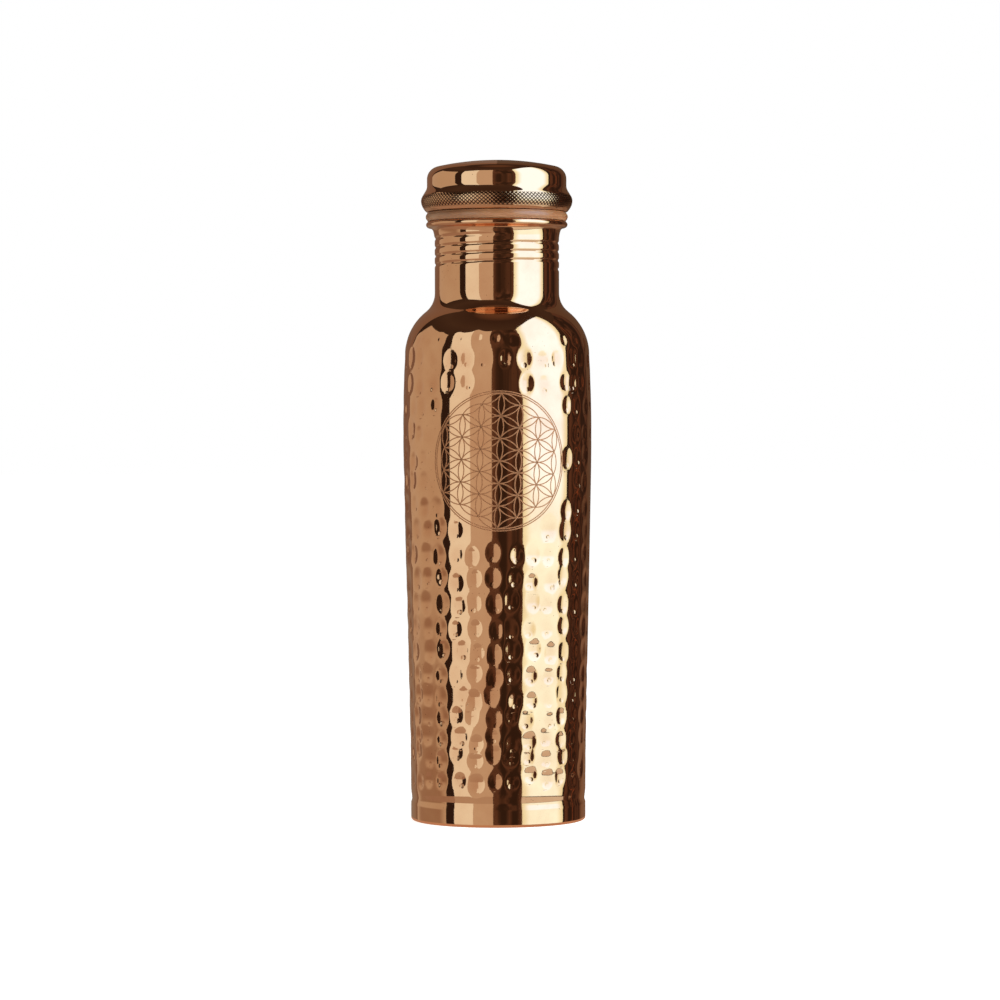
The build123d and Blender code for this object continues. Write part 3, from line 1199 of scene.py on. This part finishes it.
@dataclass
class LidCap:
    """Spun cap: crimped underside, knurled grip bead, plain side and domed top."""

    sheet: float = 0.7
    crimp_r: float = 26.2
    bead_z: float = 249.1
    side_r: float = 28.04
    side_z: float = 255.1
    sag: float = 3.56
    corner_r: float = 5.0
    foot_r: float = 28.35
    # A real grip has about 144 points in rows 0.53 mm apart. Too fine to show, it is drawn coarser.
    knurls: int = 112
    knurl_low: float = 246.35
    knurl_row: float = 0.72
    knurl_rows: int = 6
    knurl_depth: float = 0.26
    knurl_flat: float = 0.2
    knurl_flank: float = 0.25

    def bead_radius(self, z: float) -> float:
        """Outside radius of the bead at a height, under its knurl.

        Args:
            z: height in millimetres.

        Returns:
            The radius in millimetres.
        """
        low = self.low_z
        if z < self.bead_z:
            share = (self.bead_z - z) / (self.bead_z - low)
            return self.bead_r - (self.bead_r - self.foot_r) * share ** 2.1
        share = (z - self.bead_z) / (self.side_z - self.bead_z)
        return self.side_r + (self.bead_r - self.side_r) * (1 - float(ease(share * 1.02))) ** 1.1

    def section(self) -> Outline:
        """The cap's closed half-section, with a row of points on each knurl line.

        Returns:
            The outline, down the outer face and back up the inner one.
        """
        dome_r = (self.side_r ** 2 + self.sag ** 2) / (2 * self.sag)
        dome_z = self.top_z - dome_r
        corner_x = self.side_r - self.corner_r
        corner_z = dome_z + math.sqrt((dome_r - self.corner_r) ** 2 - corner_x ** 2)
        lift = math.degrees(math.atan2(corner_z - dome_z, corner_x))
        skin = self.sheet
        outside = Outline([(self.crimp_r, self.low_z)]).line(28.2, self.low_z, 1.0)
        outside.follow(self.bead_radius, self.low_z + 0.1, self.knurl_low, 0.25)
        knurl_high = self.knurl_low + self.knurl_row * self.knurl_rows
        outside.follow(self.bead_radius, self.knurl_low, knurl_high, self.knurl_row / 2)
        outside.follow(self.bead_radius, knurl_high, self.side_z, 0.3)
        outside.line(self.side_r, corner_z, 0.8)
        outside.arc((corner_x, corner_z), self.corner_r, 0, lift, 0.35)
        outside.arc((0.0, dome_z), dome_r, lift, 90, 1.2)
        inside = Outline([(self.crimp_r, self.low_z + skin)]).line(27.9, self.low_z + skin, 1.2)
        inside.follow(lambda z: self.bead_radius(z) - skin, self.low_z + skin + 0.1, self.side_z, 0.8)
        inside.line(self.side_r - skin, corner_z, 2.0)
        inside.arc((corner_x, corner_z), self.corner_r - skin, 0, lift, 1.2)
        inside.arc((0.0, dome_z), dome_r - skin, lift, 90, 5.0)
        return Outline(outside.points[::-1] + inside.points)

    def knurl(self, theta: np.ndarray, r: np.ndarray, z: np.ndarray) -> np.ndarray:
        """Flat-topped diamond points left proud between two sets of crossed cuts.

        Args:
            theta: angle about the axis.
            r: radius before the shift.
            z: height.

        Returns:
            The shift in millimetres, which is inward.
        """
        outside = r > self.bead_radius_of(z) - self.sheet / 2
        up = (z - self.knurl_low) / (2 * self.knurl_row)
        around = theta / FULL_TURN * self.knurls
        flanks = [np.abs(np.mod(line + 0.5, 1.0) - 0.5) for line in (around + up, around - up)]
        cut = ease((np.maximum(*flanks) - self.knurl_flat) / self.knurl_flank)
        band = ease((up + 0.5) / 0.5) * ease((self.knurl_rows / 2 + 0.5 - up) / 0.5) * outside
        self.band_map = band + 0 * theta
        return -self.knurl_depth * cut * band

    def bead_radius_of(self, z: np.ndarray) -> np.ndarray:
        """The bead's radius for a column of heights."""
        held = np.clip(z, self.low_z, self.side_z)
        return np.vectorize(self.bead_radius)(held)

    def build(self) -> None:
        """Make the cap."""
        self.low_z, self.top_z = node_z("lid_cap")
        self.bead_r = node_r("lid_cap")
        cap = turned("cap_spun", self.section(), self.knurls * 4, self.knurl, crease=60.0)
        mark_mesh(cap, "dent", self.band_map)
        # The near-black colour fills the knurl's cuts: painted shade between the points.
        copper = KnurledCopper(
            "spun, knurled and buffed copper", tarnish_and_shade="2E150A", line_mm=0.5, hollow_shade=1.0, cloud_mm=30.0,
            patch_share=0.08, roughness=(0.035, 0.3), knurls=self.knurls, first_z=self.knurl_low,
            row=self.knurl_row, cut_from=self.knurl_flat)
        place(cap, Body.LID, Slot.LID, copper, ["lid_cap"])


@dataclass
class LidPlug:
    """Hollow threaded plug, its floor disc and the solder round that."""

    sheet: float = 0.6
    plug_r: float = 23.75
    flange_t: float = 0.7
    thread: Helix = Helix(start_z=223.25, pitch=3.5, begin=0.0, end=3.0, half_width=0.8)
    ridge: float = 0.5
    ridge_top: float = 235.0
    floor_round: float = 0.4
    solder_leg: float = 0.7
    columns: int = 256

    def crest(self, theta: np.ndarray, r: np.ndarray, z: np.ndarray) -> np.ndarray:
        """The plug's thread, proud of its outer face only."""
        return np.where(np.abs(r - self.plug_r) < 0.01, self.ridge * self.thread.shape(theta, z), 0.0)

    def build(self) -> None:
        """Make the plug, its floor and its solder."""
        low, high = node_z("lid_plug")
        flange_r = node_r("lid_plug")
        bore = self.plug_r - self.sheet
        neck = high - self.flange_t
        tube = Outline([(bore, low)]).line(self.plug_r - 0.2, low).line(self.plug_r, low + 0.2)
        tube.line(self.plug_r, self.thread.start_z - 1.0, 0.8).line(self.plug_r, self.ridge_top, 0.3)
        tube.line(self.plug_r, neck, 1.0).line(flange_r, neck, 1.0).line(flange_r, high)
        tube.line(bore, high, 1.5).line(bore, low, 2.0)
        bright = Copper("turned copper", bright="F4BB90", roughness=(0.1, 0.2), line_mm=0.25)
        plug = turned("plug_threaded", tube, self.columns, self.crest)
        place(plug, Body.LID, Slot.PLUG, bright, ["lid_plug"])
        floor_low, floor_high = node_z("plug_floor")
        out = node_r("plug_floor")
        corner = self.floor_round
        disc = Outline([(0.0, floor_low)]).line(out - corner, floor_low, 1.5)
        disc.arc((out - corner, floor_low + corner), corner, -90, 0, 0.15).line(out, floor_high)
        disc.line(out - self.sheet, floor_high).line(out - self.sheet, floor_low + self.sheet)
        disc.line(0.0, floor_low + self.sheet, 3.0)
        place(turned("plug_floor_disc", disc, self.columns), Body.LID, Slot.PLUG, Copper(
            "pressed copper floor", bright="F0B68B", roughness=(0.12, 0.22), line_mm=0.4), ["plug_floor"])
        seam_low, seam_high = node_z("plug_solder")
        seam_r = node_r("plug_solder")
        seam = Outline([(seam_r, seam_low)]).line(seam_r, seam_high).line(seam_r - self.solder_leg, seam_high)
        seam.line(seam_r - self.solder_leg * 0.35, seam_high - 0.32)
        joint = turned("plug_solder_seam", seam, self.columns)
        place(joint, Body.LID, Slot.SOLDER, TinSolder(), ["plug_solder"])


# ---------------------------------------------------------------- studio


@dataclass(frozen=True)
class Panel:
    """A lit card that stands round the bottle.

    Its left and right edges are lists of (angle from the front, angle above level) in degrees, from the
    bottom to the top. Its other two sides join them, and the top one may be arched by a crown in degrees.
    """

    name: str
    left: tuple[Point, ...]
    right: tuple[Point, ...]
    colour: str
    strength: float = 1.0
    low_colour: str = ""
    edge_colour: str = ""
    crown: float = 0.0
    heights: Point = (0.01, 0.12)
    patch_mm: float = 0.0
    nearer: float = 0.0


def upright(name: str, left: float, right: float, low: float, high: float, colour: str,
            **more: Any) -> Panel:
    """A card with level and upright sides."""
    return Panel(name, ((left, low), (left, high)), ((right, low), (right, high)), colour, **more)


@dataclass
class Studio:
    """Light table, cards all round and one soft lamp. Lengths are in metres."""

    distance: float = 1.3
    eye_z: float = 0.16
    near_r: float = 0.04
    near_drop: float = 0.0002
    near_glow: Glow = Glow("light_table_near", "C9A78F", 0.9)
    soft_side: float = 0.2
    lamp_at: tuple[float, float, float] = (1.05, -0.8, 0.7)
    lamp_aim: tuple[float, float, float] = (0.0, 0.0, 0.2)
    lamp_size: Point = (0.5, 0.9)
    lamp_watts: float = 15.0
    # Tones of the room by height, for the copper alone.
    room: tuple[tuple[float, str], ...] = (
        (0.4, "2F241F"), (0.78, "43352B"), (0.95, "3A2C24"), (0.995, "5E4636"))
    panels: tuple[Panel, ...] = (
        Panel("left_card", ((-133, -19), (-134, 4), (-129, 20), (-118, 36)), ((-72, -19), (-72, 34)),
              "BBB19F", low_colour="9A8775", heights=(-0.13, 0.04)),
        Panel("peach_card", ((-59.5, -19), (-59.5, 38)), ((-33, -19), (-33, 46)), "EBFAF6"),
        Panel("front_card", ((-33, -19), (-33, 46)), ((-6.5, -19), (-7, 47.5)), "C3BAAA"),
        Panel("softbox", ((31, -19), (31, 16), (31, 50), (37, 54)),
              ((93, -19), (94, 10), (97, 33), (107, 60)), "B2DAFF", strength=2.65,
              low_colour="AED0DC", edge_colour="A3B8AC", crown=5.5),
        upright("dark_curtain", -6.5, 31, -30, 50, "5D4537", low_colour="33271F", patch_mm=240.0),
        Panel("side_curtain", ((96, -30), (98, 10), (110, 45)), ((133, -30), (142, 10), (141, 45)),
              "5A4134", low_colour="2F241F", patch_mm=150.0),
        Panel("copper_streak", ((113, -30), (115, 10), (110, 36)), ((114.2, -30), (116.2, 10), (111, 36)),
              "7A4A33", nearer=0.02),
        Panel("back_right_card", ((134, -19), (134, -4), (143, -1), (143, 30), (139, 62)),
              ((180, -19), (180, 62)), "5E4A3A", low_colour="7F6652", heights=(-0.05, 0.05)),
        Panel("back_left_card", ((180, -19), (180, 62)), ((227, -19), (227, 62)), "7D6656",
              low_colour="90806F", heights=(0.0, 0.1)),
        upright("table_left", -133, -60, -45, -19, "9F8B7C"),
        upright("table_front_left", -60, -7, -45, -19, "B5A898"),
        upright("table_right", 31, 108, -45, -20, "D8E0DA"),
        upright("table_back", 108, 227, -45, -19, "8A7868"),
        upright("table_below", -180, 180, -86, -45, "A38D7C"),
    )

    def card(self, panel: Panel) -> bpy.types.Object:
        """Make one curved card.

        Args:
            panel: the angles and the light of it.

        Returns:
            The card.
        """
        wide, tall = 48, 32
        distance = self.distance - panel.nearer
        steps = np.linspace(0, 1, tall)
        edges = [[np.interp(steps, np.linspace(0, 1, len(edge)), [point[axis] for point in edge])
                  for axis in (0, 1)] for edge in (panel.left, panel.right)]
        corners = []
        for row in range(tall):
            for share in np.linspace(0, 1, wide):
                turn, lift = (math.radians((1 - share) * edges[0][axis][row] + share * edges[1][axis][row])
                              for axis in (0, 1))
                lift += math.radians(panel.crown) * 4 * share * (1 - share) * steps[row] ** 3
                reach = distance * math.cos(lift)
                corners.append((reach * math.sin(turn), -reach * math.cos(turn),
                                self.eye_z + distance * math.sin(lift)))
        faces = [(i * wide + j, i * wide + j + 1, (i + 1) * wide + j + 1, (i + 1) * wide + j)
                 for i in range(tall - 1) for j in range(wide - 1)]
        sheet = object_from(panel.name, corners, faces)
        sides = np.linspace(0, 1, wide)
        inside = np.tile(ease(np.minimum(sides, 1 - sides) / self.soft_side), tall)
        mark_mesh(sheet, "inside", inside)
        glow = Glow(panel.name, panel.colour, panel.strength, panel.low_colour, panel.edge_colour,
                    panel.heights, panel.patch_mm)
        sheet.data.materials.append(glow.material())
        sheet.visible_camera = sheet.visible_diffuse = sheet.visible_shadow = False
        return sheet

    def floor(self) -> bpy.types.Object:
        """Make the light table's top.

        Returns:
            The table.
        """
        half = 12.0
        corners = [(-half, -half, 0), (half, -half, 0), (half, half, 0), (-half, half, 0)]
        table = object_from("light_table", corners, [(0, 1, 2, 3)])
        table.data.materials.append(LightTable().material())
        table.visible_glossy = False
        return table

    def near_table(self) -> bpy.types.Object:
        """Make the patch of the light table that the foot's rounded edge mirrors.

        Returns:
            The patch.
        """
        turns = np.linspace(0, FULL_TURN, 64, endpoint=False)
        corners = [(self.near_r * math.cos(t), self.near_r * math.sin(t), -self.near_drop) for t in turns]
        patch = object_from(self.near_glow.name, corners, [tuple(range(len(corners)))])
        mark_mesh(patch, "inside", np.ones(len(corners)))
        patch.data.materials.append(self.near_glow.material())
        patch.visible_camera = patch.visible_diffuse = patch.visible_shadow = False
        return patch

    def lamp(self) -> None:
        """Hang the soft lamp that lights the matte pieces from the right."""
        data = bpy.data.lights.new("soft_lamp", "AREA")
        data.shape, data.energy = "RECTANGLE", self.lamp_watts
        data.size, data.size_y = self.lamp_size
        lamp = bpy.data.objects.new("soft_lamp", data)
        lamp.location = self.lamp_at
        lamp.rotation_euler = (Vector(self.lamp_aim) - lamp.location).to_track_quat("-Z", "Y").to_euler()
        lamp.visible_glossy = False
        bpy.context.scene.collection.objects.link(lamp)

    def sky(self) -> None:
        """Set what lies all round: white to the eye, and a dark warm room in the copper."""
        world = bpy.data.worlds.new("studio")
        bpy.context.scene.world = world
        world.use_nodes = True
        tree = world.node_tree
        tree.nodes.clear()
        path = add_node(tree, "LightPath")
        aim = add_node(tree, "SeparateXYZ", {0: add_node(tree, "TexCoord").outputs["Generated"]}).outputs[2]
        ceiling = add_node(tree, "ValToRGB", {0: aim})
        tones = ceiling.color_ramp.elements
        for height, _ in self.room[1:-1]:
            tones.new(height)
        for tone, (height, code) in zip(tones, self.room):
            tone.position, tone.color = height, linear(code)
        room = add_node(tree, "Background", {"Color": ceiling.outputs[0], "Strength": 1.0})
        paper = add_node(tree, "Background", {"Color": linear("FFFFFF"), "Strength": 1.0})
        soft = add_node(tree, "Background", {"Color": linear("FFF9F2"), "Strength": 0.12})
        matte = add_node(tree, "MixShader", {
            0: path.outputs["Is Diffuse Ray"], 1: room.outputs[0], 2: soft.outputs[0]})
        seen = add_node(tree, "MixShader", {
            0: path.outputs["Is Camera Ray"], 1: matte.outputs[0], 2: paper.outputs[0]})
        output = add_node(tree, "OutputWorld")
        tree.links.new(seen.outputs[0], output.inputs[0])

    def build(self) -> None:
        """Set the studio up."""
        self.floor()
        self.near_table()
        for panel in self.panels:
            self.card(panel)
        self.lamp()
        self.sky()
        bpy.context.scene.view_settings.view_transform = "Standard"
        LOG.info("studio: %d cards", len(self.panels))


@dataclass
class EyeLevelCamera:
    """Long lens, level with a little over half the bottle's height. Lengths are in metres."""

    lens_mm: float = 133.35
    distance: float = 1.492
    height: float = 0.1567
    aside: float = 0.001
    dip_deg: float = 1.0745
    roll_deg: float = -0.15

    def build(self) -> None:
        """Make the camera and give it to the scene."""
        data = bpy.data.cameras.new("camera")
        data.lens, data.sensor_width = self.lens_mm, 36.0
        data.clip_end = 100.0
        camera = bpy.data.objects.new("camera", data)
        turn = Euler((math.radians(90 - self.dip_deg), 0, 0)).to_matrix().to_4x4()
        roll = Matrix.Rotation(math.radians(self.roll_deg), 4, "Z")
        camera.matrix_world = Matrix.Translation((self.aside, -self.distance, self.height)) @ turn @ roll
        bpy.context.scene.collection.objects.link(camera)
        bpy.context.scene.camera = camera


def main() -> None:
    """Build the bottle, then the studio round it."""
    logging.basicConfig(level=logging.INFO, format="%(message)s")
    for part in (BottleShell(), Base(), Washer(), LidCap(), LidPlug(), Studio(), EyeLevelCamera()):
        part.build()


if __name__ == "__main__":
    main()
